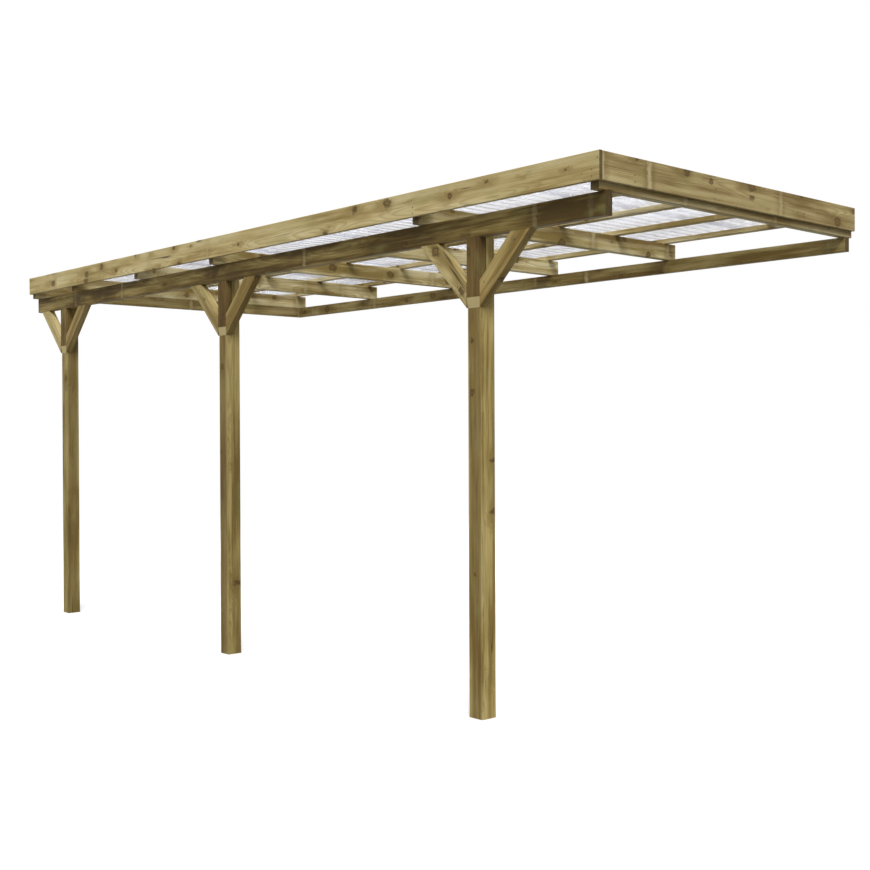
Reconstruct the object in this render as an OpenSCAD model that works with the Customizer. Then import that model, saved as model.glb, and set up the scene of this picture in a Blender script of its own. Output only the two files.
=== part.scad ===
// Lean-to timber carport: three posts along the front, a back beam fixed to what the carport leans on,
// seven rafters across, battens on the rafters and corrugated clear sheets inside a fascia.
// Frame: X runs along the beams, the near end is +X; the posts are in front, on -Y; Z is up.
// The origin is the middle of the middle post's foot.

/* [Posts] */
// Side of the square posts
post_w = 90; // [70:1:140]
// Distance from post to post
post_pitch = 2222; // [1600:1:2600]
// Height of the underside of the front beam above the ground
beam_under_z = 2278; // [2000:1:2600]
// Radius of the eased long edges of every board
ease = 3; // [1:0.5:6]

/* [Post heads] */
// Thickness of the front beam, the braces and the head blocks
frame_t = 45; // [35:1:60]
// How far those stand proud of the post's front face
head_proud = 8; // [2:1:15]
// Height of the head block and reach of the braces, from post to brace tip
head_h = 330; // [260:1:420]
// Width of the brace boards
brace_w = 90; // [70:1:110]
// Height of the bevel at the foot of the head block
toe_h = 50; // [30:1:70]

/* [Beams] */
// Height of the front beam
front_beam_h = 105; // [80:1:160]
// Thickness of the back beam
back_beam_t = 40; // [30:1:60]
// Height of the back beam
back_beam_h = 76; // [60:1:120]
// Distance from the ends of the rafters to the back face of the back beam
back_beam_in = 25; // [5:1:60]
// Thickness of the tie between the two beams, under the last rafter but one
tie_t = 45; // [30:1:60]

/* [Roof frame] */
// Overhang of the front beam past the near post's centre line
near_over = 811; // [400:1:1000]
// Overhang of the front beam past the far post's centre line
far_over = 440; // [300:1:500]
// Distance from the front faces of the posts to the back ends of the rafters
roof_d = 2010; // [1600:1:2600]
// Overhang of the rafters in front of the posts
rafter_over = 50; // [30:1:120]
// Thickness of the rafters
rafter_t = 45; // [35:1:60]
// Height of the rafters
rafter_h = 95; // [80:1:140]
// Distance from the near end of the front beam to the centre line of the second rafter
near_bay = 1175; // [700:1:1300]
// Distance from the far end of the front beam to the centre line of the sixth rafter
far_bay = 700; // [620:1:900]
// Width of the battens
batten_w = 45; // [35:1:60]
// Thickness of the battens
batten_t = 28; // [20:1:40]
// Distance between the four battens behind the front one
batten_pitch = 470; // [400:1:560]
// Distance from the back batten to the ends of the rafters
batten_back = 55; // [30:1:120]

/* [Fascia] */
// Thickness of the fascia boards
fascia_t = 20; // [16:1:28]
// Height of the fascia boards
fascia_h = 124; // [110:1:160]
// Height of the fascia's lower edge above the undersides of the rafters
fascia_up = 34; // [10:1:50]

/* [Roof sheets] */
// Thickness of the corrugated sheets, measured straight up
sheet_t = 1.6; // [1.2:0.1:3]
// Height of the corrugations
wave_h = 18; // [12:0.5:30]
// Corrugations across the whole roof
waves = 75; // [69:1:77]
// Flat steps in one corrugation
wave_steps = 12; // [8:4:24]
// Gap from the sheets to the fascia boards
sheet_gap = 6; // [3:1:15]
// Play between two sheets where they lap
lap_play = 0.4; // [0.2:0.1:1]

/* [Hidden] */
wood = "darkkhaki";
wood_end = "khaki";
clear = "aliceblue";
front_y = -post_w / 2;
back_y = front_y + roof_d;
back_beam_y = back_y - back_beam_in - back_beam_t;
head_y = front_y - head_proud;
tongue_y = head_y + frame_t;
near_x = post_pitch + near_over;
far_x = -post_pitch - far_over;
roof_l = near_x - far_x;
head_z = beam_under_z - head_h;
beam_top_z = beam_under_z + front_beam_h;
batten_z = beam_top_z + rafter_h;
sheet_z = batten_z + batten_t;
rafter_y = front_y - rafter_over;
rafter_l = back_y - rafter_y;
fascia_z = beam_top_z + fascia_up;
brace_l = head_h * sqrt(2) + 2 * brace_w;
cut_over = 1;
ease_steps = 2;
wave_p = (roof_l - 2 * sheet_gap) / waves;
// Corrugations of one full sheet, and of the lap of two; the last sheet is trimmed
sheet_waves = 12;
sheet_lap = 1;
sheet_step = sheet_waves - sheet_lap;
sheet_l = rafter_l - sheet_gap;
batten_back_y = back_y - batten_back - batten_w;
batten_2_y = batten_back_y - 3 * batten_pitch;
rafter_2_x = near_x - near_bay;
tie_x = far_x + far_bay;
rafter_pitch = (rafter_2_x - tie_x) / 4;
back_beam_x = tie_x - tie_t / 2;
back_beam_z = beam_top_z - back_beam_h;

// The cross-section of a board, with eased corners.
function eased(a, b) = [
    for (q = [0:3], s = [0:ease_steps])
        let (turn = 90 * (q + s / ease_steps))
        [
            (q == 0 || q == 3 ? a - ease : ease) + ease * cos(turn),
            (q < 2 ? b - ease : ease) + ease * sin(turn)
        ]
];

// A board that stands on its end, one that lies along X and one that lies along Y.
module board_z(w, d, l) {
    linear_extrude(l)
        polygon(eased(w, d));
}

module board_x(l, d, h) {
    rotate([90, 0, 90])
        board_z(d, h, l);
}

module board_y(w, l, h) {
    translate([0, l, 0])
        rotate([90, 0, 0])
            board_z(w, h, l);
}

// A post: the upper front is cut away, so that a tongue runs up behind the head block and the beam.
module post(x) {
    difference() {
        translate([x - post_w / 2, front_y, 0])
            board_z(post_w, post_w, beam_top_z);
        translate([x - post_w / 2 - cut_over, front_y - cut_over, head_z])
            cube([post_w + 2 * cut_over, tongue_y - front_y + cut_over, beam_top_z - head_z + cut_over]);
    }
}

// The block that fills the notch of a post below the beam; its foot is bevelled back to the post's face.
module head_block(x) {
    intersection() {
        translate([x + post_w / 2, 0, 0])
            rotate([0, -90, 0])
                linear_extrude(post_w)
                    polygon([
                        [head_z, tongue_y],
                        [head_z, front_y],
                        [head_z + toe_h, head_y],
                        [beam_under_z, head_y],
                        [beam_under_z, tongue_y]
                    ]);
        translate([x - post_w / 2, head_y, head_z])
            board_z(post_w, frame_t, head_h);
    }
}

// A 45 degree brace in the beam's plane: a board, cut plumb at the post and level under the beam.
// side is 1 toward the near end and -1 toward the far end.
module brace(x, side) {
    translate([x + side * post_w / 2, head_y, head_z])
        mirror([side < 0 ? 1 : 0, 0, 0])
            intersection() {
                cube([head_h, frame_t, head_h]);
                rotate([0, -45, 0])
                    translate([-brace_w, 0, 0])
                        board_x(brace_l, frame_t, brace_w);
            }
}

// A rafter under the battens, given by its centre line and its front end.
module rafter(x, y) {
    translate([x - rafter_t / 2, y, beam_top_z])
        board_y(rafter_t, back_y - y, rafter_h);
}

// A batten across all the rafters, given by its front edge.
module batten(y) {
    translate([far_x, y, batten_z])
        board_x(roof_l, batten_w, batten_t);
}

// Height of the corrugation's underside, in steps that leave a flat at each crest and valley.
function wave_z(step) = wave_h / 2 * (1 - cos(360 * (step + 0.5) / wave_steps) / cos(180 / wave_steps));

// A corrugated sheet from one corrugation to another, counted from the far end.
// lift is 1 for the sheets that lie over their neighbours at the laps.
module roof_sheet(from, to, lift) {
    last = (to - from) * wave_steps - 1;
    translate([far_x + sheet_gap + from * wave_p, back_y, sheet_z + lift * (sheet_t + lap_play)])
        rotate([90, 0, 0])
            linear_extrude(sheet_l)
                polygon(concat(
                    [for (s = [0:last]) [(s + 0.5) * wave_p / wave_steps, wave_z(s)]],
                    [for (s = [last:-1:0]) [(s + 0.5) * wave_p / wave_steps, wave_z(s) + sheet_t]]
                ));
}

// Sheet number, counted from the far end.
module full_sheet(i) {
    roof_sheet((i - 1) * sheet_step, (i - 1) * sheet_step + sheet_waves, (i - 1) % 2);
}

module post_near() { color(wood) post(post_pitch); }
module post_middle() { color(wood) post(0); }
module post_far() { color(wood) post(-post_pitch); }

module head_block_near() { color(wood_end) head_block(post_pitch); }
module head_block_middle() { color(wood_end) head_block(0); }
module head_block_far() { color(wood_end) head_block(-post_pitch); }

module brace_near_a() { color(wood) brace(post_pitch, 1); }
module brace_near_b() { color(wood) brace(post_pitch, -1); }
module brace_middle_a() { color(wood) brace(0, 1); }
module brace_middle_b() { color(wood) brace(0, -1); }
module brace_far_a() { color(wood) brace(-post_pitch, 1); }
module brace_far_b() { color(wood) brace(-post_pitch, -1); }

module front_beam() {
    color(wood)
        translate([far_x, head_y, beam_under_z])
            board_x(roof_l, frame_t, front_beam_h);
}

// The back beam ends at the tie.
module back_beam() {
    color(wood)
        translate([back_beam_x, back_beam_y, back_beam_z])
            board_x(near_x - back_beam_x, back_beam_t, back_beam_h);
}

// The tie closes the frame between the two beams, under rafter 6 and level with the back beam.
module tie_beam() {
    color(wood)
        translate([tie_x - tie_t / 2, tongue_y, back_beam_z])
            board_y(tie_t, back_beam_y - tongue_y, back_beam_h);
}

module rafter_1() { color(wood) rafter(near_x - rafter_t / 2, rafter_y); }
module rafter_2() { color(wood) rafter(rafter_2_x, rafter_y); }
// Rafter 3 is a short one: it starts under the second batten, behind the front beam.
module rafter_3() { color(wood) rafter(rafter_2_x - rafter_pitch, batten_2_y); }
module rafter_4() { color(wood) rafter(rafter_2_x - 2 * rafter_pitch, rafter_y); }
module rafter_5() { color(wood) rafter(rafter_2_x - 3 * rafter_pitch, rafter_y); }
module rafter_6() { color(wood) rafter(tie_x, rafter_y); }
module rafter_7() { color(wood) rafter(far_x + rafter_t / 2, rafter_y); }

module batten_1() { color(wood) batten(rafter_y); }
module batten_2() { color(wood) batten(batten_2_y); }
module batten_3() { color(wood) batten(batten_back_y - 2 * batten_pitch); }
module batten_4() { color(wood) batten(batten_back_y - batten_pitch); }
module batten_5() { color(wood) batten(batten_back_y); }

// The front fascia covers the ends of the two side boards.
module fascia_front() {
    color(wood)
        translate([far_x - fascia_t, rafter_y - fascia_t, fascia_z])
            board_x(roof_l + 2 * fascia_t, fascia_t, fascia_h);
}

module fascia_near() {
    color(wood)
        translate([near_x, rafter_y, fascia_z])
            board_y(fascia_t, rafter_l, fascia_h);
}

module fascia_far() {
    color(wood)
        translate([far_x - fascia_t, rafter_y, fascia_z])
            board_y(fascia_t, rafter_l, fascia_h);
}

module roof_sheet_1() { color(clear) full_sheet(1); }
module roof_sheet_2() { color(clear) full_sheet(2); }
module roof_sheet_3() { color(clear) full_sheet(3); }
module roof_sheet_4() { color(clear) full_sheet(4); }
module roof_sheet_5() { color(clear) full_sheet(5); }
module roof_sheet_6() { color(clear) full_sheet(6); }
module roof_sheet_7() { color(clear) roof_sheet(6 * sheet_step, waves, 0); }

post_near();
post_middle();
post_far();
head_block_near();
head_block_middle();
head_block_far();
brace_near_a();
brace_near_b();
brace_middle_a();
brace_middle_b();
brace_far_a();
brace_far_b();
front_beam();
back_beam();
tie_beam();
rafter_1();
rafter_2();
rafter_3();
rafter_4();
rafter_5();
rafter_6();
rafter_7();
batten_1();
batten_2();
batten_3();
batten_4();
batten_5();
fascia_front();
fascia_near();
fascia_far();
roof_sheet_1();
roof_sheet_2();
roof_sheet_3();
roof_sheet_4();
roof_sheet_5();
roof_sheet_6();
roof_sheet_7();
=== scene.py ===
import math
import random

import bpy
from mathutils import Euler, Matrix, Vector


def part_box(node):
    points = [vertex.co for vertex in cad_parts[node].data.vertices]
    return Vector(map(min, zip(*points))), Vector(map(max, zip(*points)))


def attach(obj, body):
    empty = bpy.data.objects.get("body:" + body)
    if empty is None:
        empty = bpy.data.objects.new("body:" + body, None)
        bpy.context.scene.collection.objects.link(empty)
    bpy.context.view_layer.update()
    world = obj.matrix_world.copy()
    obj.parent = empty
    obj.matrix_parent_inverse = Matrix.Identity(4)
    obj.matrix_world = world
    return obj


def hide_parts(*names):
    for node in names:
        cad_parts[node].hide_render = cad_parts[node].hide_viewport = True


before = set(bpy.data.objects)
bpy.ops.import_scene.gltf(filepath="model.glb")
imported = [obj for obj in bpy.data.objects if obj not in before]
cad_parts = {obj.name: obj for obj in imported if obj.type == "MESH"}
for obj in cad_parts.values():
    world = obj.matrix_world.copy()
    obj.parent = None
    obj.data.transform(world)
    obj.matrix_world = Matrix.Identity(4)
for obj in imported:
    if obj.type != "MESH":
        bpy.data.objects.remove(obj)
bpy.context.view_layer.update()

# Posts: three square posts of planed softwood, pressure treated, which leaves an olive-brown tone.
# They hold the heart of the log, so their ends show whole rings. Each is notched at the head, where
# the front beam and the head block are let in, and cut square at the foot.
luck = random.Random(11)
SMOOTH = {"interpolation_type": "SMOOTHSTEP"}

RING = 0.0048                           # one growth ring, in metres as all sizes here
RING_STRETCH = 0.07                     # change of the rings along the log, against that across it
WANDER_L = 1.111                        # the heart of the log wanders over this length
WANDER = 0.022                          # and this far to each side
HEART_OFF = (0.05, 0.03)                # a board's middle from the heart, where nothing else is given
HEARTWOOD = (0.050, 0.022)              # the heartwood's edge, and where it is at its brownest
LOG_L = 40                              # the boards are taken from anywhere along so much wood
KNOT_CELL = (0.26, 0.12, 0.10)          # one knot to so much wood: along the grain, through and across it
KNOT_R = 0.020                          # the largest knots
KNOT_BEND = 0.020                       # the rings bend aside so far for a knot
PIN_CELL = (0.09, 0.05, 0.045)          # pin knots, much smaller and more of them
PIN_R = 0.0035
WOBBLE = (0.016667, 0.016667, 0.016667) # unevenness of knots and of the edges of lath marks
STREAK = (0.769, 0.0278, 0.0278)        # streaks of the treatment: along the grain, and the two ways across
BROAD = (0.588, 0.111, 0.111)           # broad changes of tone
SALTS = (0.25, 0.0714, 0.0714)          # patches of copper salts
SPLIT = (2.0, 0.0333, 0.0333)           # drying checks
SPLIT_AREA = (0.3846, 0.0625, 0.0625)   # places where there are any
FIBRE = (0.1111, 0.00238, 0.00238)      # wood fibre, drawn coarser than it is so that it shows
RELIEF = 0.0012                         # height of the raised grain
LATH_STEP = 0.36                        # laths that the boards were stacked on for drying, apart
LATH_W = 0.013                          # half the width of the pale mark that a lath leaves
RAGGED = 0.09                           # unevenness of such a mark, as a share of the step


def hue(code):
    """A colour written as in sRGB, as linear red, green, blue and alpha."""
    parts = [int(code[i:i + 2], 16) / 255 for i in (0, 2, 4)]
    return [p / 12.92 if p <= 0.04045 else ((p + 0.055) / 1.055) ** 2.4 for p in parts] + [1.0]


def add_node(tree, kind, inputs=None, **settings):
    """One node with its settings. An input that is a node or a socket is linked, any other value is set."""
    node = tree.nodes.new("ShaderNode" + kind)
    for name, value in settings.items():
        setattr(node, name, value)
    for name, value in (inputs or {}).items():
        if isinstance(value, bpy.types.Node):
            value = next(output for output in value.outputs if output.enabled)
        if isinstance(value, bpy.types.NodeSocket):
            tree.links.new(value, node.inputs[name])
        else:
            node.inputs[name].default_value = value
    return node


def blank_material(name):
    """A material with nothing in its node tree yet."""
    material = bpy.data.materials.new(name)
    material.use_nodes = True
    material.node_tree.nodes.clear()
    return material, material.node_tree


def distance_in_radii(tree, away, cell, radius):
    """How many radii a place lies from a point, where away is in cells of the given size."""
    metres = add_node(tree, "VectorMath", {0: away, 1: cell}, operation="MULTIPLY")
    length = add_node(tree, "VectorMath", {0: metres}, operation="LENGTH")
    return add_node(tree, "Math", {0: length, 1: radius}, operation="DIVIDE")


def dress_in_pine(node, turn, tones, heart=None, knots=1.0, laths=0.5, patchy=0.092, painted_light_below=None):
    """Gives a board its own pressure-treated pine, planed: matt, with rings, streaks and knots in olive
    browns that are darker where more of the treatment went in. The pattern is solid, so that faces, edges
    and end grain belong together. turn brings the grain to X, tones run from dark to pale, heart is the
    place of the log's heart off the board's middle, and below the height given last the board is painted
    pale, as painted light."""
    dark, mid, pale = [hue(tone) for tone in tones]
    low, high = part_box(node)
    rotation = Euler(turn).to_matrix()
    side = [off * luck.choice((-1, 1)) for off in HEART_OFF]
    slide = Vector((luck.uniform(0, LOG_L), *(heart or side)))
    place = slide - rotation @ ((low + high) / 2)
    shade = luck.uniform(-0.025, 0.025)
    material, tree = blank_material("treated_pine_" + node)
    coords = add_node(tree, "TexCoord")
    board = add_node(tree, "Mapping", {"Vector": coords.outputs["Object"],
                                       "Location": place, "Rotation": turn})

    # Knots: branches through the board, darker than it, with a bark rim and wild grain round them.
    # The wild grain ends before the next knot's share of the wood begins.
    cells = add_node(tree, "VectorMath", {0: board, 1: KNOT_CELL}, operation="DIVIDE")
    branches = add_node(tree, "TexVoronoi", {"Vector": cells, "Scale": 1.0, "Randomness": 0.9})
    away = add_node(tree, "VectorMath", {0: cells, 1: branches.outputs["Position"]}, operation="SUBTRACT")
    uneven = add_node(tree, "VectorMath", {0: board, 1: WOBBLE}, operation="DIVIDE")
    wobble = add_node(tree, "TexNoise", {"Vector": uneven, "Scale": 1.0, "Detail": 2.0})
    draw = add_node(tree, "SeparateColor", {"Color": branches.outputs["Color"]})
    size = add_node(tree, "MapRange", {"Value": draw.outputs["Red"], "From Min": 0.25,
                                       "To Min": 0.0005, "To Max": KNOT_R * knots}, **SMOOTH)
    swell = add_node(tree, "MapRange", {"Value": wobble, "From Min": 0.3, "From Max": 0.7,
                                        "To Min": 0.8, "To Max": 1.2}, **SMOOTH)
    radius = add_node(tree, "Math", {0: size, 1: swell}, operation="MULTIPLY")
    reach = distance_in_radii(tree, away, (KNOT_CELL[0] * 0.75, KNOT_CELL[1] * 0.3, KNOT_CELL[2]), radius)
    knot = add_node(tree, "MapRange", {"Value": reach, "From Min": 1.15, "From Max": 0.85}, **SMOOTH)
    outer = add_node(tree, "MapRange", {"Value": reach, "From Min": 1.6, "From Max": 1.0}, **SMOOTH)
    inner = add_node(tree, "MapRange", {"Value": reach, "From Min": 0.5, "From Max": 1.0}, **SMOOTH)
    rim = add_node(tree, "Math", {0: outer, 1: inner}, operation="MULTIPLY")
    pith = add_node(tree, "MapRange", {"Value": reach, "From Min": 0.45, "From Max": 0.1}, **SMOOTH)
    wide = distance_in_radii(tree, away, (KNOT_CELL[0] * 0.3, KNOT_CELL[1] * 0.3, KNOT_CELL[2]), radius)
    wild = add_node(tree, "MapRange", {"Value": wide, "From Min": 4.2, "From Max": 0.6}, **SMOOTH)
    verge = add_node(tree, "TexVoronoi", {"Vector": cells, "Scale": 1.0, "Randomness": 0.9},
                     feature="DISTANCE_TO_EDGE")
    verge = add_node(tree, "MapRange", {"Value": verge, "From Min": 0.0, "From Max": 0.3}, **SMOOTH)
    flame = add_node(tree, "Math", {0: wild, 1: verge}, operation="MULTIPLY")

    # Pin knots: small dark dots.
    pin_cells = add_node(tree, "VectorMath", {0: board, 1: PIN_CELL}, operation="DIVIDE")
    pins = add_node(tree, "TexVoronoi", {"Vector": pin_cells, "Scale": 1.0, "Randomness": 1.0})
    pin_away = add_node(tree, "VectorMath", {0: pin_cells, 1: pins.outputs["Position"]}, operation="SUBTRACT")
    pin_draw = add_node(tree, "SeparateColor", {"Color": pins.outputs["Color"]})
    pin_radius = add_node(tree, "MapRange", {"Value": pin_draw.outputs["Green"], "From Min": 0.55,
                                             "To Min": 0.0002, "To Max": PIN_R * knots}, **SMOOTH)
    pin = distance_in_radii(tree, pin_away, PIN_CELL, pin_radius)
    pin = add_node(tree, "MapRange", {"Value": pin, "From Min": 1.6, "From Max": 0.7}, **SMOOTH)

    # Growth rings round a heart that wanders along the log, bent aside by the knots. Their late wood is dark.
    wander = add_node(tree, "VectorMath", {0: board, 1: (1 / WANDER_L, 0, 0)}, operation="MULTIPLY")
    wander = add_node(tree, "TexNoise", {"Vector": wander, "Scale": 1.0, "Detail": 1.0})
    wander = add_node(tree, "MapRange", {"Value": wander, "From Min": 0.2, "From Max": 0.8,
                                         "To Min": -WANDER, "To Max": WANDER}, **SMOOTH)
    push = add_node(tree, "Math", {0: flame, 1: KNOT_BEND, 2: wander}, operation="MULTIPLY_ADD")
    push = add_node(tree, "CombineXYZ", {"Y": wander, "Z": push})
    log = add_node(tree, "VectorMath", {0: board, 1: (RING_STRETCH, 1, 1)}, operation="MULTIPLY")
    log = add_node(tree, "VectorMath", {0: log, 1: push}, operation="ADD")
    rings = add_node(tree, "TexWave",
                     {"Vector": log, "Scale": math.tau / (20 * RING), "Distortion": 5.0,
                      "Detail": 3.0, "Detail Scale": 0.3, "Detail Roughness": 0.6},
                     wave_type="RINGS", rings_direction="X", wave_profile="SAW")
    latewood = add_node(tree, "MapRange", {"Value": rings.outputs["Fac"], "From Min": 0.35}, **SMOOTH)
    ring_depth = add_node(tree, "MapRange", {"Value": flame, "From Max": 0.8,
                                             "To Min": 0.42, "To Max": 0.85}, **SMOOTH)

    # Long streaks where the treatment took more or less, and broad changes along the board.
    streaks = add_node(tree, "VectorMath", {0: board, 1: STREAK}, operation="DIVIDE")
    streaks = add_node(tree, "TexNoise", {"Vector": streaks, "Scale": 1.0, "Detail": 5.0, "Roughness": 0.65})
    broad = add_node(tree, "VectorMath", {0: board, 1: BROAD}, operation="DIVIDE")
    broad = add_node(tree, "TexNoise", {"Vector": broad, "Scale": 1.0, "Detail": 3.0})
    tone = add_node(tree, "Mix", {0: 0.5, 2: streaks, 3: broad})
    colour = add_node(tree, "ValToRGB", {"Fac": tone})
    stops = colour.color_ramp.elements
    stops[0].position = 0.5 - patchy + shade
    stops[0].color = dark
    stops[1].position = 0.5 + patchy + shade
    stops[1].color = pale
    stops.new(0.5 + shade).color = mid

    # The heartwood takes little of the treatment and stays browner.
    core = add_node(tree, "VectorMath", {0: board, 1: (0, 1, 1)}, operation="MULTIPLY")
    core = add_node(tree, "VectorMath", {0: core}, operation="LENGTH")
    core = add_node(tree, "MapRange", {"Value": core, "From Min": HEARTWOOD[0],
                                       "From Max": HEARTWOOD[1]}, **SMOOTH)

    # Copper salts leave a faint green cast in patches.
    salts = add_node(tree, "VectorMath", {0: board, 1: SALTS}, operation="DIVIDE")
    salts = add_node(tree, "TexNoise", {"Vector": salts, "Scale": 1.0, "Detail": 3.0})
    cast = add_node(tree, "MapRange", {"Value": salts, "From Min": 0.52, "From Max": 0.75}, **SMOOTH)

    # Pale marks across the board, where the laths of the drying stack kept the treatment off. It pooled
    # and stained the wood beside them.
    along = add_node(tree, "SeparateXYZ", {"Vector": board})
    along = add_node(tree, "Math", {0: along.outputs["X"], 1: 1 / LATH_STEP}, operation="MULTIPLY")
    stack = add_node(tree, "TexVoronoi", {"W": along, "Scale": 1.0, "Randomness": 0.75},
                     voronoi_dimensions="1D")
    from_lath = add_node(tree, "Math", {0: wobble, 1: RAGGED, 2: stack.outputs["Distance"]},
                         operation="MULTIPLY_ADD")
    from_lath = add_node(tree, "Math", {0: from_lath, 1: RAGGED / 2}, operation="SUBTRACT")
    from_lath = add_node(tree, "Math", {0: from_lath, 1: LATH_STEP / LATH_W}, operation="MULTIPLY")
    fringe = add_node(tree, "MapRange", {"Value": from_lath, "From Min": 4.5, "From Max": 1.0,
                                         "To Max": 0.9}, **SMOOTH)
    mark = add_node(tree, "MapRange", {"Value": from_lath, "From Min": 1.6, "From Max": 0.3}, **SMOOTH)
    chance = add_node(tree, "SeparateColor", {"Color": stack.outputs["Color"]})
    chance = add_node(tree, "MapRange", {"Value": chance.outputs["Red"], "From Min": 0.4, "From Max": 0.8,
                                         "To Max": laths}, **SMOOTH)
    worn = add_node(tree, "MapRange", {"Value": salts, "From Min": 0.3, "From Max": 0.6,
                                       "To Min": 0.5}, **SMOOTH)
    chance = add_node(tree, "Math", {0: chance, 1: worn}, operation="MULTIPLY")

    # Drying checks: hair cracks along the grain, in places only.
    splits = add_node(tree, "VectorMath", {0: board, 1: SPLIT}, operation="DIVIDE")
    splits = add_node(tree, "TexNoise", {"Vector": splits, "Scale": 1.0, "Detail": 1.0})
    line = add_node(tree, "Math", {0: splits, 1: 0.5}, operation="SUBTRACT")
    line = add_node(tree, "Math", {0: line}, operation="ABSOLUTE")
    line = add_node(tree, "MapRange", {"Value": line, "From Min": 0.016, "From Max": 0.003}, **SMOOTH)
    where = add_node(tree, "VectorMath", {0: board, 1: SPLIT_AREA}, operation="DIVIDE")
    where = add_node(tree, "TexNoise", {"Vector": where, "Scale": 1.0, "Detail": 0.0})
    where = add_node(tree, "MapRange", {"Value": where, "From Min": 0.62, "From Max": 0.72}, **SMOOTH)
    check = add_node(tree, "Math", {0: line, 1: where}, operation="MULTIPLY")

    # Sawn ends: darker than the planed faces, with the rings plain to see, and drawn near black: partly the
    # end grain's own tone, partly painted shade, as in the joint at the corner of the fascia.
    grain = rotation.inverted() @ Vector((1, 0, 0))
    facing = add_node(tree, "NewGeometry")
    facing = add_node(tree, "VectorMath", {0: facing.outputs["Normal"], 1: grain}, operation="DOT_PRODUCT")
    facing = add_node(tree, "Math", {0: facing}, operation="ABSOLUTE")
    sawn = add_node(tree, "MapRange", {"Value": facing, "From Min": 0.5, "From Max": 0.65}, **SMOOTH)
    end_grain_and_painted_shade = add_node(tree, "Mix", {0: latewood, 6: hue("4f3f1f"), 7: hue("221808")}, data_type="RGBA")

    # The colours are laid over each other in this order, each where its mask is and as strong as is given.
    layers = [(dark, latewood, ring_depth), (hue("5d451f"), core, 0.55), (hue("8d8a52"), cast, 0.4),
              (dark, fringe, chance), (hue("c0b286"), mark, chance), (dark, flame, 0.7),
              (hue("3a2810"), pin, 0.8), (hue("6b5026"), knot, 0.7), (hue("3a2810"), rim, 0.6),
              (hue("3f2b12"), pith, 0.6), (hue("2b1f0e"), check, 0.8), (end_grain_and_painted_shade, sawn, 0.85)]
    # Painted light: below the given height the bevelled foot of a head block is painted pale.
    if painted_light_below is not None:
        height = add_node(tree, "SeparateXYZ", {"Vector": coords.outputs["Object"]})
        cut = add_node(tree, "MapRange", {"Value": height.outputs["Z"], "From Min": painted_light_below + 0.002,
                                          "From Max": painted_light_below - 0.002}, **SMOOTH)
        layers.append((hue("dac791"), cut, 0.75))
    for over, mask, strength in layers:
        amount = add_node(tree, "Math", {0: mask, 1: strength}, operation="MULTIPLY")
        colour = add_node(tree, "Mix", {0: amount, 6: colour, 7: over}, data_type="RGBA")

    # Raised grain and open checks in the surface, which is dull and a little uneven in that.
    fibre = add_node(tree, "VectorMath", {0: board, 1: FIBRE}, operation="DIVIDE")
    fibre = add_node(tree, "TexNoise", {"Vector": fibre, "Scale": 1.0, "Detail": 2.0})
    dull = add_node(tree, "MapRange", {"Value": fibre, "From Min": 0.3, "From Max": 0.7,
                                       "To Min": 0.62, "To Max": 0.84}, **SMOOTH)
    raised = add_node(tree, "Mix", {0: 0.5, 2: fibre, 3: latewood})
    sunk = add_node(tree, "Math", {0: check, 1: 2.0}, operation="MULTIPLY")
    raised = add_node(tree, "Math", {0: raised, 1: sunk}, operation="SUBTRACT")
    bump = add_node(tree, "Bump", {"Strength": 0.5, "Distance": RELIEF, "Height": raised})
    shader = add_node(tree, "BsdfPrincipled", {"Base Color": colour, "Roughness": dull, "Normal": bump,
                                               "IOR": 1.5, "Specular IOR Level": 0.22})
    add_node(tree, "OutputMaterial", {"Surface": shader})
    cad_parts[node].data.materials.clear()
    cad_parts[node].data.materials.append(material)


UPRIGHT = (0, math.radians(90), 0)
ALONG = (0, 0, 0)
ACROSS = (0, 0, math.radians(-90))

# The middle and far posts are drawn darker than the near one: painted shade.
for place, heart, tones in (("near", (0.043, 0.006), ("816b37", "ad995e", "c6b57c")),
                            ("middle", (0.043, -0.008), ("6e5b2d", "96834d", "b19f68")),
                            ("far", (0.004, 0.043), ("6a592c", "93824b", "ae9e67"))):
    dress_in_pine("post_" + place, UPRIGHT, tones, heart, knots=0.65, laths=0.0, patchy=0.085)

# Head blocks and braces: short lengths of 45 mm treated pine, the braces mitred at 45 degrees and screwed
# through their faces, the blocks let into the post heads and screwed from behind. The foot of each block
# is bevelled. The blocks are drawn dark as painted shade under the eaves, their bevel is painted pale as
# painted light, and brace b is drawn paler than brace a as painted light.
TOE = 0.05
BLOCK_TONES_IN_PAINTED_SHADE = ("503c19", "6f592f", "8a7545")
toe_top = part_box("head_block_near")[0].z + TOE
for place in ("near", "middle", "far"):
    dress_in_pine("head_block_" + place, UPRIGHT, BLOCK_TONES_IN_PAINTED_SHADE, laths=0.0, painted_light_below=toe_top)
    for side, lean, tones in (("a", 45, ("826b39", "ab945b", "c3af78")),
                              ("b", 135, ("8d7846", "b9a46c", "d0be89"))):
        brace = "brace_{}_{}".format(place, side)
        dress_in_pine(brace, (0, math.radians(lean), 0), tones, laths=0.0)

# Beams: the front beam lies in the notches of the posts, the back beam runs along the other side and
# ends at the tie that joins the two. They are sawn from the same treated pine as the posts.
# The back beam and the tie are drawn darker than the posts, partly as painted shade under the roof; the front
# beam is drawn darker still.
dress_in_pine("front_beam", ALONG, ("503f1a", "846f3b", "b09c64"), patchy=0.08, laths=0.4)
dress_in_pine("back_beam", ALONG, ("6b572b", "917f4d", "ac9c68"), laths=0.6)
dress_in_pine("tie_beam", ACROSS, ("675328", "93804c", "b19e6a"), patchy=0.085, laths=0.5)

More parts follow.
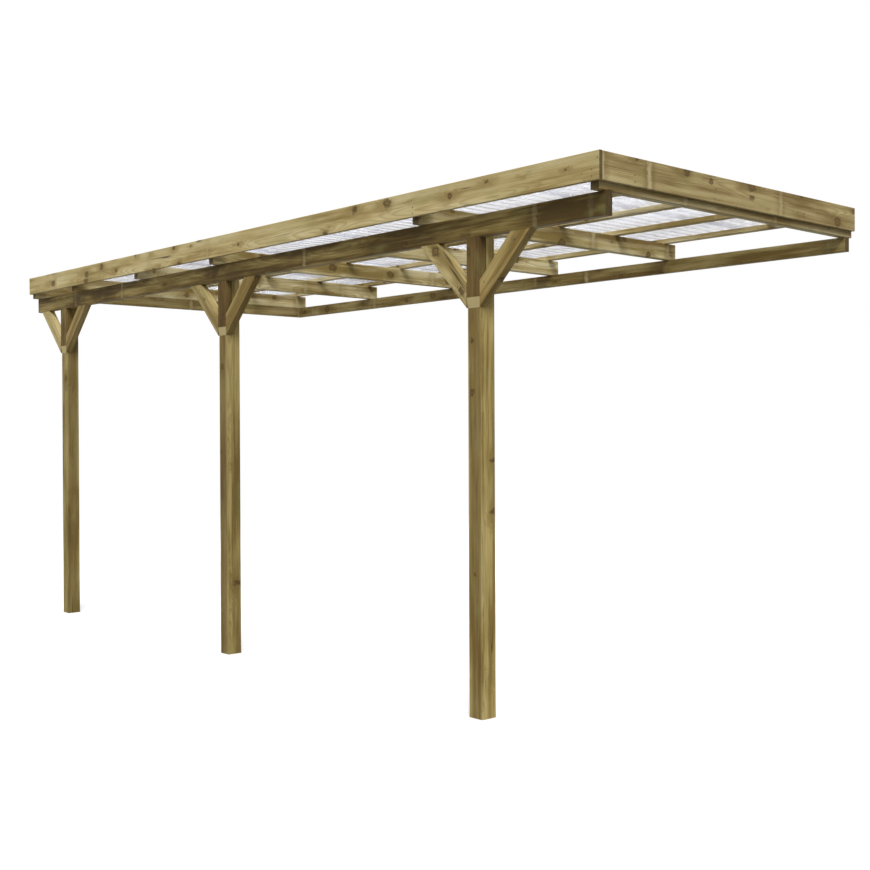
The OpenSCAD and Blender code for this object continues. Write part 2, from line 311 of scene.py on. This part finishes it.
# Rafters: seven boards of treated pine on edge across the two beams, one of them short.
# They rest on the beams, and are drawn paler than them: painted light, for the light that comes through the
# sheets.
for number in range(1, 8):
    rafter = "rafter_{}".format(number)
    dress_in_pine(rafter, ACROSS, ("88733f", "c3b17b", "dbcfa3"), patchy=0.085, laths=0.6)

# Battens: five laths of treated pine laid flat over the rafters and screwed down to them.
# They carry the sheets, and are drawn pale: painted light, for the light that comes through the sheets.
for number in range(1, 6):
    dress_in_pine("batten_{}".format(number), ALONG, ("97824c", "ccba84", "e1d4a8"), laths=0.4)

# Fascia: planed boards of treated pine round the front and the two ends, screwed to the rafters and set
# up so that they hide the sheets' edges.
# The front board is drawn paler than the end boards: painted light, as it faces away from the sun.
dress_in_pine("fascia_front", ALONG, ("957e49", "c4b17b", "d7c897"), patchy=0.115, laths=0.3)
for board in ("fascia_near", "fascia_far"):
    dress_in_pine(board, ACROSS, ("776236", "aa9767", "c3b483"), patchy=0.12, laths=0.75)

# Roof sheets: seven clear corrugated sheets, each lapped by one wave on the next and laid on the battens.
# They are drawn as one wave of a curved sheet, which is then repeated and given its thickness.
WAVES = 75
SHEET_WAVES = 12
SHEET_STEP = 11
WAVE_H = 0.018
WAVE_FACETS = 20
SHEET_GAP = 0.006
SHEET_T = 0.0015
LIFT = 0.002                            # every second sheet lies on its neighbours
DRAWN_LINE = (0.04167, 1.43, 1.0)       # haze drawn out along the sheet: across it, along it and through it
LEVEL, STEEP = 0.1, 0.6                 # sideways part of the normal, on a crest and on a wave's flank
roof_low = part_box("roof_sheet_1")[0]
far_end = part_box("front_beam")[0].x
near_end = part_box("front_beam")[1].x
wave_w = (near_end - far_end - 2 * SHEET_GAP) / WAVES

# Clear PVC, extruded: glossy and see-through, a little milky, in faint lines along the sheet. The flanks of
# the waves are painted darker and made denser: a painted shade for the banding that the longer path through
# the flanks gives. The IOR is below the 1.53 of PVC, so that what lies behind isn't bent more than by so thin
# a sheet.
clear_pvc, tree = blank_material("clear_pvc")
coords = add_node(tree, "TexCoord")
drawn = add_node(tree, "VectorMath", {0: coords.outputs["Object"], 1: DRAWN_LINE}, operation="DIVIDE")
drawn = add_node(tree, "TexNoise", {"Vector": drawn, "Scale": 1.0, "Detail": 2.0})
haze = add_node(tree, "ValToRGB", {"Fac": drawn})
haze.color_ramp.elements[0].position = 0.35
haze.color_ramp.elements[0].color = hue("ececf4")
haze.color_ramp.elements[1].position = 0.65
haze.color_ramp.elements[1].color = hue("ffffff")
slope = add_node(tree, "NewGeometry")
slope = add_node(tree, "SeparateXYZ", {"Vector": slope.outputs["Normal"]})
slope = add_node(tree, "Math", {0: slope.outputs["X"]}, operation="ABSOLUTE")
dense = add_node(tree, "MapRange", {"Value": slope, "From Min": LEVEL, "From Max": STEEP,
                                    "To Min": 0.14, "To Max": 0.52}, **SMOOTH)
flank_shade = add_node(tree, "MapRange", {"Value": slope, "From Min": LEVEL, "From Max": STEEP,
                                    "To Max": 0.85}, **SMOOTH)
milky_and_painted_shade = add_node(tree, "Mix", {0: flank_shade, 6: haze, 7: hue("d6d8e6")}, data_type="RGBA")
shader = add_node(tree, "BsdfPrincipled", {"Base Color": milky_and_painted_shade, "Alpha": dense, "Roughness": 0.2,
                                           "Transmission Weight": 1.0, "IOR": 1.2})
add_node(tree, "OutputMaterial", {"Surface": shader})


def edit(piece):
    """Edit mode on one piece alone, with nothing selected in it."""
    bpy.ops.object.select_all(action="DESELECT")
    piece.select_set(True)
    bpy.context.view_layer.objects.active = piece
    bpy.ops.object.mode_set(mode="EDIT")
    bpy.ops.mesh.select_all(action="DESELECT")


def pick(piece, wanted):
    """In edit mode, selects the vertices whose place is wanted, and the edges and faces between them."""
    bpy.ops.object.mode_set(mode="OBJECT")
    for vertex in piece.data.vertices:
        vertex.select = wanted(vertex.co)
    for edge in piece.data.edges:
        edge.select = all(piece.data.vertices[v].select for v in edge.vertices)
    for face in piece.data.polygons:
        face.select = all(piece.data.vertices[v].select for v in face.vertices)
    bpy.ops.object.mode_set(mode="EDIT")


def wave_height(step):
    return WAVE_H / 2 * (1 - math.cos(math.tau * step / WAVE_FACETS))


for number in range(1, 8):
    first = (number - 1) * SHEET_STEP
    node = "roof_sheet_{}".format(number)
    low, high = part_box(node)
    start = far_end + SHEET_GAP + first * wave_w

    # One edge of a plane becomes the sheet's side, and is drawn out facet by facet along the wave.
    bpy.ops.object.select_all(action="DESELECT")
    bpy.ops.mesh.primitive_plane_add(size=1, location=(0, 0, 0))
    sheet = bpy.context.object
    sheet.name = "clear_" + node
    edit(sheet)
    pick(sheet, lambda co: co.x > 0)
    bpy.ops.mesh.delete(type="VERT")
    bpy.ops.mesh.select_all(action="SELECT")
    bpy.ops.transform.resize(value=(1, high.y - low.y, 1))
    bpy.ops.transform.translate(value=(start + 0.5, (low.y + high.y) / 2, low.z))
    for step in range(WAVE_FACETS):
        rise = wave_height(step + 1) - wave_height(step)
        bpy.ops.mesh.extrude_region_move(TRANSFORM_OT_translate={"value": (wave_w / WAVE_FACETS, 0, rise)})
    bpy.ops.mesh.select_all(action="SELECT")
    bpy.ops.mesh.normals_make_consistent(inside=False)
    bpy.ops.object.mode_set(mode="OBJECT")
    if sheet.data.polygons[0].normal.z < 0:
        edit(sheet)
        bpy.ops.mesh.select_all(action="SELECT")
        bpy.ops.mesh.flip_normals()
        bpy.ops.object.mode_set(mode="OBJECT")

    waves = sheet.modifiers.new("waves", "ARRAY")
    waves.count = min(SHEET_WAVES, WAVES - first)
    waves.use_relative_offset = False
    waves.use_constant_offset = True
    waves.constant_offset_displace = (wave_w, 0, 0)
    waves.use_merge_vertices = True
    waves.merge_threshold = 0.0002
    thickness = sheet.modifiers.new("thickness", "SOLIDIFY")
    thickness.thickness = SHEET_T
    thickness.offset = 1
    thickness.use_even_offset = True
    for modifier in list(sheet.modifiers):
        bpy.ops.object.modifier_apply(modifier=modifier.name)
    bpy.ops.object.shade_smooth_by_angle(angle=math.radians(40))
    sheet.data.materials.append(clear_pvc)
    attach(sheet, "root")
    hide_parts(node)

# Screws: countersunk, zinc plated and driven flush, with a six-lobed recess. They hold the fascia to the
# rafters, the braces to posts and beam, the beam and the head blocks to the posts, and the battens.
SCREW_R = 0.0046
SCREW_DEEP = 0.002                      # how much of the screw is modelled
SCREW_PROUD = 0.0005
SCREW_EDGE = 0.0005                     # bevel of the head
SOCKET_IN = 0.0018                      # the recess starts so far inside the edge of the head
SOCKET_DEEP = 0.0011
LOBE = 0.62                             # every second corner of the recess is drawn in to this
FILM = 0.00625                          # patches of the plating
FASCIA_UP = 0.018                       # lower row of screws, above the edge of the fascia
FASCIA_DOWN = 0.014                     # upper row, below the top of the rafters
CORNER_IN = 0.01                        # screws at the corners of the front fascia
CORNER_DOWN = 0.03
END_PLACES = (0.12, 0.70, 1.28)         # screws along the end boards
END_IN = 0.06                           # and the last ones, from the back
BRACE_ROWS = ((0.045, (0.062, 0.238)), (0.085, (0.030, 0.215)))  # above a brace's edge, and out from the post
BEAM_SPOTS = ((-0.022, 0.027), (0.022, 0.077))  # off the post's middle, and up from the beam's edge
BLOCK_SPOTS = ((-0.018, 0.082), (0.018, 0.262))  # the same, up from the foot of the block
BATTEN_SHIFTS = (-0.012, 0.0, 0.012)    # a batten's screw may move so far to lie clear of a valley

# Yellow zinc plate on steel, tumbled: a dull metal, brassy and grey in patches.
zinc, tree = blank_material("yellow_zinc_plate")
coords = add_node(tree, "TexCoord")
film = add_node(tree, "TexNoise", {"Vector": coords.outputs["Object"], "Scale": 1 / FILM, "Detail": 2.0})
film = add_node(tree, "ValToRGB", {"Fac": film})
film.color_ramp.elements[0].position = 0.35
film.color_ramp.elements[0].color = hue("5f5636")
film.color_ramp.elements[1].position = 0.65
film.color_ramp.elements[1].color = hue("8d8468")
shader = add_node(tree, "BsdfPrincipled", {"Base Color": film, "Metallic": 1.0, "Roughness": 0.5})
add_node(tree, "OutputMaterial", {"Surface": shader})

bpy.ops.object.select_all(action="DESELECT")
bpy.ops.mesh.primitive_cylinder_add(vertices=12, radius=SCREW_R, depth=SCREW_DEEP,
                                    location=(0, 0, SCREW_PROUD - SCREW_DEEP / 2))
screw = bpy.context.object
bpy.ops.object.transform_apply()
edit(screw)
pick(screw, lambda co: co.z > 0)
bpy.ops.mesh.inset(thickness=SOCKET_IN)
bpy.ops.mesh.extrude_region_move(TRANSFORM_OT_translate={"value": (0, 0, -SOCKET_DEEP)})
pick(screw, lambda co: co.xy.length < SCREW_R * 0.7 and round(math.degrees(math.atan2(co.x, co.y))) % 60 == 0)
bpy.ops.transform.resize(value=(LOBE, LOBE, 1), center_override=(0, 0, 0))
pick(screw, lambda co: co.xy.length > SCREW_R * 0.9 and co.z > 0)
bpy.ops.mesh.bevel(offset=SCREW_EDGE, segments=1)
bpy.ops.object.mode_set(mode="OBJECT")
bpy.ops.object.shade_smooth_by_angle(angle=math.radians(35))
screw.data.materials.append(zinc)


def copies(pattern, name, places):
    """The pattern set at each place, pointing outwards there, as one piece."""
    bpy.ops.object.select_all(action="DESELECT")
    for point, outward in places:
        turned = Vector(outward).to_track_quat("Z", "Y").to_matrix().to_4x4()
        one = pattern.copy()
        one.data = pattern.data.copy()
        one.data.transform(Matrix.Translation(point) @ turned)
        bpy.context.scene.collection.objects.link(one)
        one.select_set(True)
        bpy.context.view_layer.objects.active = one
    bpy.ops.object.join()
    piece = bpy.context.object
    piece.name = name
    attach(piece, "root")


def middle(node):
    low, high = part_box(node)
    return (low + high) / 2


# The short rafter, the third, doesn't reach the fascia.
fascia_low, fascia_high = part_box("fascia_front")
fascia_rows = (fascia_low.z + FASCIA_UP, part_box("rafter_1")[1].z - FASCIA_DOWN)
spots = []
for number in (1, 2, 4, 5, 6, 7):
    x = middle("rafter_{}".format(number)).x
    spots += [((x, fascia_low.y, z), (0, -1, 0)) for z in fascia_rows]
for x in (fascia_low.x + CORNER_IN, fascia_high.x - CORNER_IN):
    spots.append(((x, fascia_low.y, fascia_high.z - CORNER_DOWN), (0, -1, 0)))
copies(screw, "screws_fascia_front", spots)
for board, x, way in (("fascia_near", fascia_high.x, 1), ("fascia_far", fascia_low.x, -1)):
    places = END_PLACES + (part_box(board)[1].y - END_IN,)
    copies(screw, "screws_" + board, [((x, y, z), (way, 0, 0)) for y in places for z in fascia_rows])

beam_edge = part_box("front_beam")[0].z
for place in ("near", "middle", "far"):
    post_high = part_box("post_" + place)[1]
    brace_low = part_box("brace_{}_a".format(place))[0]
    x = middle("post_" + place).x
    spots = []
    for side in (-1, 1):
        edge = x + side * (post_high.x - x)
        for up, runs in BRACE_ROWS:
            spots += [((edge + side * run, brace_low.y, brace_low.z + run + up), (0, -1, 0)) for run in runs]
    block_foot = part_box("head_block_" + place)[0].z
    for foot, holes in ((beam_edge, BEAM_SPOTS), (block_foot, BLOCK_SPOTS)):
        spots += [((x + off, post_high.y, foot + up), (0, 1, 0)) for off, up in holes]
    copies(screw, "screws_head_" + place, spots)


def from_valley(x):
    """How far a place lies from the nearest valley of the sheets, in waves."""
    return abs(((x - far_end - SHEET_GAP) / wave_w + 0.5) % 1 - 0.5)


for number in range(1, 6):
    low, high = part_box("batten_{}".format(number))
    spots = []
    for rafter in range(1, 8):
        rafter_x = middle("rafter_{}".format(rafter)).x
        x = max([rafter_x + shift for shift in BATTEN_SHIFTS], key=from_valley)
        spots.append(((x, (low.y + high.y) / 2, high.z), (0, 0, 1)))
    copies(screw, "screws_batten_{}".format(number), spots)
bpy.data.objects.remove(screw)

# Sheet fixings: a zinc plated pan-head screw with a washer, in every third valley over each batten. The
# washer is bent to the sheet, and the heads stay below the crests.
WASHER_R = 0.0075
WASHER_T = 0.0012
PAN_R = 0.0042
PAN_H = 0.0022
FIRST_VALLEY = 2
VALLEY_STEP = 3
valley_bend = (wave_w / math.tau) ** 2 / (WAVE_H / 2)
bpy.ops.object.select_all(action="DESELECT")
bpy.ops.mesh.primitive_cylinder_add(vertices=10, radius=WASHER_R, depth=WASHER_T,
                                    location=(0, 0, WASHER_T / 2))
fixing = bpy.context.object
bpy.ops.object.transform_apply()
edit(fixing)
pick(fixing, lambda co: co.z > WASHER_T / 2)
bpy.ops.mesh.inset(thickness=WASHER_R - PAN_R)
bpy.ops.mesh.extrude_region_move(TRANSFORM_OT_translate={"value": (0, 0, PAN_H * 0.6)})
bpy.ops.mesh.extrude_region_move(TRANSFORM_OT_translate={"value": (0, 0, PAN_H * 0.4)})
bpy.ops.transform.resize(value=(0.7, 0.7, 1), center_override=(0, 0, 0))
bpy.ops.mesh.inset(thickness=PAN_R * 0.25)
bpy.ops.mesh.extrude_region_move(TRANSFORM_OT_translate={"value": (0, 0, -PAN_H * 0.5)})
bpy.ops.object.mode_set(mode="OBJECT")
rim_places = {round(abs(v.co.x), 5) for v in fixing.data.vertices if v.co.xy.length > WASHER_R * 0.9}
for rim_x in sorted(rim_places):
    edit(fixing)
    pick(fixing, lambda co: co.xy.length > WASHER_R * 0.9 and abs(abs(co.x) - rim_x) < 2e-5)
    bpy.ops.transform.translate(value=(0, 0, rim_x ** 2 / (2 * valley_bend)))
    bpy.ops.object.mode_set(mode="OBJECT")
bpy.ops.object.shade_smooth_by_angle(angle=math.radians(35))
fixing.data.materials.append(zinc)
for number in range(1, 6):
    row_y = middle("batten_{}".format(number)).y
    spots = []
    for valley in range(FIRST_VALLEY, WAVES, VALLEY_STEP):
        lifted = any(0 <= valley - (n - 1) * SHEET_STEP <= SHEET_WAVES for n in (2, 4, 6))
        sheet_top = roof_low.z + SHEET_T + (LIFT if lifted else 0)
        spots.append(((far_end + SHEET_GAP + valley * wave_w, row_y, sheet_top), (0, 0, 1)))
    copies(fixing, "sheet_fixings_{}".format(number), spots)
bpy.data.objects.remove(fixing)

# The setting: a pale painted floor that fades into white, even light from all round and one soft sun.
# The eye, a reflection and a view through the sheets see white, while other light meets a grey floor.
FLOOR_R = 30
FADE = (5.0, 12.0)
HORIZON = 0.04                          # half the height of the change from floor light to sky light
HIGH_SKY = 0.9


def seen_plainly(tree):
    """1 where the eye, a reflection or a view through a sheet looks, and 0 for other light."""
    path = add_node(tree, "LightPath")
    indirect = add_node(tree, "Math", {0: path.outputs["Is Glossy Ray"],
                                       1: path.outputs["Is Transmission Ray"]}, operation="MAXIMUM")
    return add_node(tree, "Math", {0: path.outputs["Is Camera Ray"], 1: indirect}, operation="MAXIMUM")


floor_paint, tree = blank_material("studio_floor")
coords = add_node(tree, "TexCoord")
spread = add_node(tree, "VectorMath", {0: coords.outputs["Object"]}, operation="LENGTH")
below = add_node(tree, "NewGeometry")
above = add_node(tree, "Math", {0: 1.0, 1: below.outputs["Backfacing"]}, operation="SUBTRACT")
fading = add_node(tree, "MapRange", {"Value": spread, "From Min": FADE[0], "From Max": FADE[1],
                                     "To Min": above, "To Max": 0.0}, **SMOOTH)
ground = add_node(tree, "Mix", {0: seen_plainly(tree), 6: hue("5a5a58"), 7: hue("fafafa")}, data_type="RGBA")
shader = add_node(tree, "BsdfPrincipled", {"Base Color": ground, "Alpha": fading, "Roughness": 0.9})
add_node(tree, "OutputMaterial", {"Surface": shader})
bpy.ops.object.select_all(action="DESELECT")
bpy.ops.mesh.primitive_circle_add(vertices=64, radius=FLOOR_R, fill_type="NGON", location=(0, 0, 0))
floor = bpy.context.object
floor.name = "studio_floor"
floor.data.materials.append(floor_paint)

world = bpy.data.worlds.new("studio")
bpy.context.scene.world = world
world.use_nodes = True
tree = world.node_tree
tree.nodes.clear()
toward = add_node(tree, "TexCoord")
toward = add_node(tree, "SeparateXYZ", {"Vector": toward.outputs["Generated"]})
ground_glow = add_node(tree, "MapRange", {"Value": toward.outputs["Z"], "From Min": -HORIZON,
                                          "From Max": HORIZON, "To Min": 0.10, "To Max": 0.66}, **SMOOTH)
sky_glow = add_node(tree, "MapRange", {"Value": toward.outputs["Z"], "From Max": HIGH_SKY,
                                       "To Max": 0.45}, **SMOOTH)
glow = add_node(tree, "Math", {0: ground_glow, 1: sky_glow}, operation="ADD")
strength = add_node(tree, "MapRange", {"Value": seen_plainly(tree), "To Min": glow, "To Max": 1.0})
sky = add_node(tree, "Background", {"Color": hue("ffffff"), "Strength": strength})
add_node(tree, "OutputWorld", {"Surface": sky})

sun = bpy.data.objects.new("soft_sun", bpy.data.lights.new("soft_sun", "SUN"))
sun.data.energy = 2.0
sun.data.angle = math.radians(22)
sun.rotation_euler = Vector((0.68, -0.52, 0.90)).to_track_quat("Z", "Y").to_euler()
bpy.context.scene.collection.objects.link(sun)

# The camera stands at head height off the near front corner, as the photograph was taken.
# Its place is in metres, its turns are in radians, and its focal length is in widths of the frame.
CAMERA = Vector((6.3319, -3.9703, 1.3902))
YAW, PITCH, ROLL = 0.8415, -0.0077, -0.0040
FRAME_W = 870
FOCAL = 1199.9 / FRAME_W
SENSOR_W = 36
ahead = Vector((-math.sin(YAW) * math.cos(PITCH), math.cos(YAW) * math.cos(PITCH), math.sin(PITCH)))
level = Vector((math.cos(YAW), math.sin(YAW), 0))
upward = level.cross(ahead)
right = math.cos(ROLL) * level + math.sin(ROLL) * upward
up = math.cos(ROLL) * upward - math.sin(ROLL) * level
camera = bpy.data.objects.new("camera", bpy.data.cameras.new("camera"))
camera.data.sensor_width = SENSOR_W
camera.data.lens = SENSOR_W * FOCAL
camera.matrix_world = Matrix.Translation(CAMERA) @ Matrix((right, up, -ahead)).transposed().to_4x4()
bpy.context.scene.collection.objects.link(camera)
bpy.context.scene.camera = camera
bpy.context.scene.view_settings.view_transform = "Standard"
